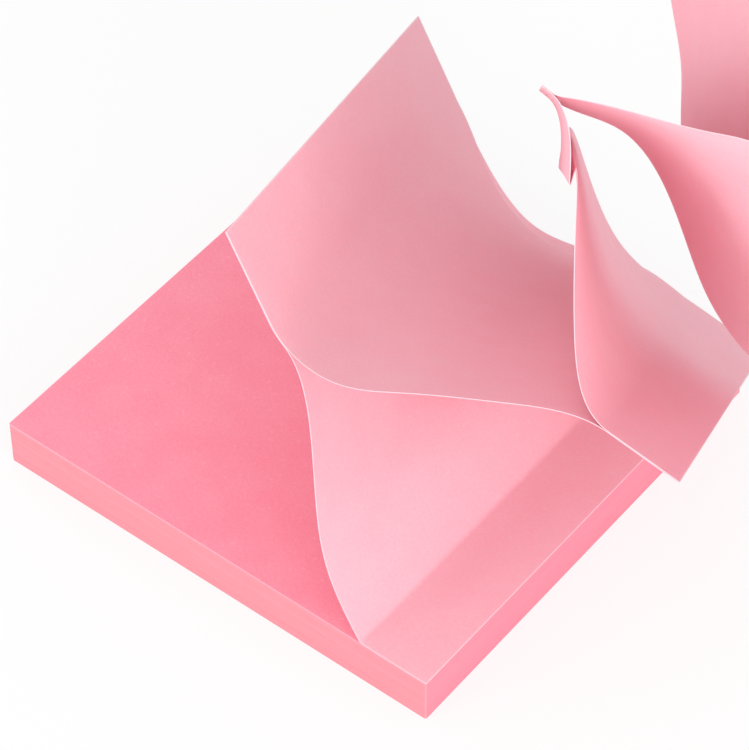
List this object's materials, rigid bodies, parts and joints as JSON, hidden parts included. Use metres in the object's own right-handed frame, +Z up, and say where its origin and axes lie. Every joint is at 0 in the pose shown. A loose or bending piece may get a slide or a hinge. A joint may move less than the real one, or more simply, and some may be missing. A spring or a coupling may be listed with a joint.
{
  "type": "sticky note pad",
  "caption": "Square pad of fanfold sticky notes with a run of sheets drawn up from the top in a zigzag, each glued to the next along one edge.",
  "frame": {"origin": "centre of the block's underside, where it rests", "axes": "+Z up; the first glued edge is the block's +X side; the front edges of the drawn sheets are at -Y"},
  "size_m": [0.1341, 0.0815, 0.125],
  "materials": {
    "pad_paper": "uncoated dyed paper, cut edges",
    "sheet_paper": "uncoated dyed paper, thin and slightly see-through"
  },
  "bodies": {
    "root": {"pad_block": "pad_paper", "sheet_1": "sheet_paper", "sheet_2": "sheet_paper", "sheet_3": "sheet_paper", "sheet_4": "sheet_paper", "sheet_5": "sheet_paper"}
  },
  "joints": []
}
